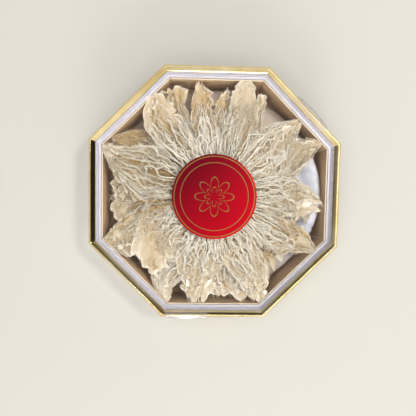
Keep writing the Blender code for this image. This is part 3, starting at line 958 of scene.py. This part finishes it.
    # Painted light and shade: each strip's tints are darkened by its own factor, blue the most, so
    # darker strips also turn more golden.
    painted_light_tint = np.power(strip_light_and_shade[index], (1.0, 1.05, 1.3))
    tints = np.minimum(1.0, np.concatenate(all_tints) * painted_light_tint)
    name = f"woven_strip_{index + 1:02d}"
    mesh = bpy.data.meshes.new(name)
    mesh.vertices.add(len(points))
    mesh.vertices.foreach_set("co", points.astype(np.float32).ravel())
    mesh.loops.add(quads.size)
    mesh.loops.foreach_set("vertex_index", quads.astype(np.int32).ravel())
    mesh.polygons.add(len(quads))
    mesh.polygons.foreach_set("loop_start", np.arange(0, quads.size, 4, dtype=np.int32))
    mesh.polygons.foreach_set("use_smooth", np.ones(len(quads), bool))
    mesh.update(calc_edges=True)
    mesh.validate()
    layer = mesh.color_attributes.new("tint", "FLOAT_COLOR", "POINT")
    layer.data.foreach_set("color", np.c_[tints, np.ones(len(tints))].astype(np.float32).ravel())
    mesh.materials.append(nest_paint)
    piece = bpy.data.objects.new(name, mesh)
    scene.collection.objects.link(piece)
    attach(piece, "root")
    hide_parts(f"nest_strip_{index + 1:02d}")


for strip_index in range(len(strips)):
    nest_strip(strip_index)

# Clear lid: a flat panel with a low wall that slips over the base's neck.
lid_apothem = 94.8
lid_wall = 1.1
lid_panel = 1.4
lid_top = 37.8
clear_lid_paint = clear_paint("clear lid plastic", (0.97, 0.97, 0.98), 0.0, 1.49)
# Painted reflection: the lid's low wall takes a milky near-white that stands in for the reflections
# and refraction a clear wall shows on edge.
lid_edge_reflection_paint = clear_paint("lid plastic seen on edge", (0.97, 0.95, 0.99), 0.25, 1.49, 0.22)
lid_profile = [
    (lid_apothem - lid_wall, lid_top - lid_panel),
    (lid_apothem - lid_wall, 28.8),
    (lid_apothem, 28.8),
    (lid_apothem, lid_top),
]
lid = octagon_body(
    "lid_panel", lid_profile, clear_lid_paint,
    closed=False, bevel=0.25, wall_look=lid_edge_reflection_paint, wall_rows=(0, 1, 2),
)
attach(lid, "root")
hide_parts("clear_lid")

# Gold frame: a moulded plastic ring, vacuum plated in bright gold, with a steep outer bevel, a
# shallow inner one and mitred corners. It is pressed round the lid.
frame_paint, frame_tree, frame_shader = paint("gold plating")
gold_mottle = place_effect(
    frame_tree, mottle, Light=(0.94, 0.80, 0.47, 1), Dark=(0.76, 0.58, 0.26, 1),
    Patch_Scale=40.0, Grain_Scale=700.0, Grain_Amount=0.10,
)
frame_tree.links.new(gold_mottle.outputs["Color"], frame_shader.inputs["Base Color"])
frame_shader.inputs["Metallic"].default_value = 1.0
frame_shader.inputs["Roughness"].default_value = 0.08
add_bump(frame_tree, frame_shader, gold_mottle.outputs["Grain"], 0.00002)
frame_profile = [
    (98.6, 28.8),
    (100.0, 28.8),
    (100.0, 38.4),
    (98.4, 40.0),
    (97.5, 39.52),
    (96.6, 38.98),
    (95.8, 38.42),
    (95.1, 37.86),
    (95.1, 36.5),
    (98.6, 36.5),
]
gold_frame = octagon_body("gold_frame", frame_profile, frame_paint, closed=True, bevel=0.18)
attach(gold_frame, "root")
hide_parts("lid_frame")

# Seal: a round sticker of red foil with fine gold rings and a plain eight-petalled rosette.
seal_radius = 34.0
seal_centre = (-0.6, -2.6)
seal_bottom = 37.9
seal_thickness = 0.3
petal_count = 8
seal_paint, seal_tree, seal_shader = paint("red foil")
seal_place = seal_tree.nodes.new("ShaderNodeTexCoord")
shift = seal_tree.nodes.new("ShaderNodeVectorMath")
shift.operation = "SUBTRACT"
shift.inputs[1].default_value = (seal_centre[0] * MM, seal_centre[1] * MM, 0)
seal_tree.links.new(seal_place.outputs["Object"], shift.inputs[0])
flat = seal_tree.nodes.new("ShaderNodeSeparateXYZ")
seal_tree.links.new(shift.outputs[0], flat.inputs[0])
across_seal = math(seal_tree, "MULTIPLY", flat.outputs["X"], flat.outputs["X"])
up_seal = math(seal_tree, "MULTIPLY", flat.outputs["Y"], flat.outputs["Y"])
seal_distance = math(seal_tree, "SQRT", math(seal_tree, "ADD", across_seal, up_seal))
reach = math(seal_tree, "DIVIDE", seal_distance, seal_radius * MM)
seal_turn = math(seal_tree, "ARCTAN2", flat.outputs["Y"], flat.outputs["X"])
petal_turn = math(seal_tree, "MULTIPLY", seal_turn, petal_count / 2)
petal_wave = math(seal_tree, "ABSOLUTE", math(seal_tree, "COSINE", petal_turn))
petal_edge = math(seal_tree, "MULTIPLY_ADD", petal_wave, 0.24, 0.22)
inner_petal = math(seal_tree, "MULTIPLY_ADD", petal_wave, 0.13, 0.10)


def line_mask(where, half_width):
    """1 on a line of this half width where the distance is near zero, and 0 elsewhere."""
    away = math(seal_tree, "ABSOLUTE", where)
    return math(seal_tree, "LESS_THAN", away, half_width)


masks = []
for edge, half_width in ((0.947, 0.010), (0.80, 0.008), (petal_edge, 0.012), (inner_petal, 0.009)):
    masks.append(line_mask(math(seal_tree, "SUBTRACT", reach, edge), half_width))
gold_mask = masks[0]
for mask in masks[1:]:
    gold_mask = math(seal_tree, "MAXIMUM", gold_mask, mask)
seal_mottle = place_effect(
    seal_tree, mottle, Light=(0.68, 0.004, 0.018, 1), Dark=(0.56, 0.003, 0.013, 1),
    Patch_Scale=25.0, Grain_Scale=1800.0, Grain_Amount=0.12,
)
# Painted shade: the foil darkens to maroon towards the upper left and stays bright red towards the
# lower right, standing in for the reflection across it.
shade = math(seal_tree, "MULTIPLY_ADD", flat.outputs["Y"], 14.0, 0.5)
shade = math(seal_tree, "MULTIPLY_ADD", flat.outputs["X"], -12.0, shade)
foil_with_painted_shade = mix_colours(
    seal_tree, shade, seal_mottle.outputs["Color"], (0.19, 0.003, 0.012, 1)
)
seal_colour = mix_colours(seal_tree, gold_mask, foil_with_painted_shade, (0.48, 0.34, 0.10, 1))
seal_tree.links.new(seal_colour, seal_shader.inputs["Base Color"])
seal_metal = math(seal_tree, "MULTIPLY_ADD", gold_mask, 0.5, 0.3)
seal_tree.links.new(seal_metal, seal_shader.inputs["Metallic"])
seal_shader.inputs["Roughness"].default_value = 0.28
seal_shader.inputs["Specular IOR Level"].default_value = 0.1
add_bump(seal_tree, seal_shader, gold_mask, 0.00006)
seal_points = []
seal_count = 160
seal_rows = (
    (0.0, 0.0), (0.995, 0.0), (1.0, 0.08), (1.0, 0.22), (0.996, seal_thickness),
    (0.97, seal_thickness), (0.5, seal_thickness), (0.0, seal_thickness),
)
for share, height in seal_rows:
    for k in range(seal_count):
        turn = 2 * pi * k / seal_count
        radius = max(share, 0.02) * seal_radius
        x = seal_centre[0] + radius * cos(turn)
        y = seal_centre[1] + radius * np.sin(turn)
        seal_points.append((x * MM, y * MM, (seal_bottom + height) * MM))
seal_faces = []
for row in range(len(seal_rows) - 1):
    for k in range(seal_count):
        a = row * seal_count + k
        b = row * seal_count + (k + 1) % seal_count
        seal_faces.append((a, b, b + seal_count, a + seal_count))
seal_faces.append(tuple(range(seal_count)))
seal_faces.append(tuple(range(len(seal_points) - seal_count, len(seal_points))))
seal = mesh_piece("foil_seal", seal_points, seal_faces, seal_paint)
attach(seal, "root")
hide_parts("round_seal")

# Tapes: two short lengths of clear film folded over the frame to keep the lid shut. Each bows
# off the edge in the middle, where it catches the light.
film_paint = clear_paint("clear film", (0.97, 0.97, 1.0), 0.12, 1.45, 0.95)
for tape_node in ("seal_tape_right", "seal_tape_front"):
    tape_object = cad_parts[tape_node]
    tape_object.data.materials.clear()
    tape_object.data.materials.append(film_paint)
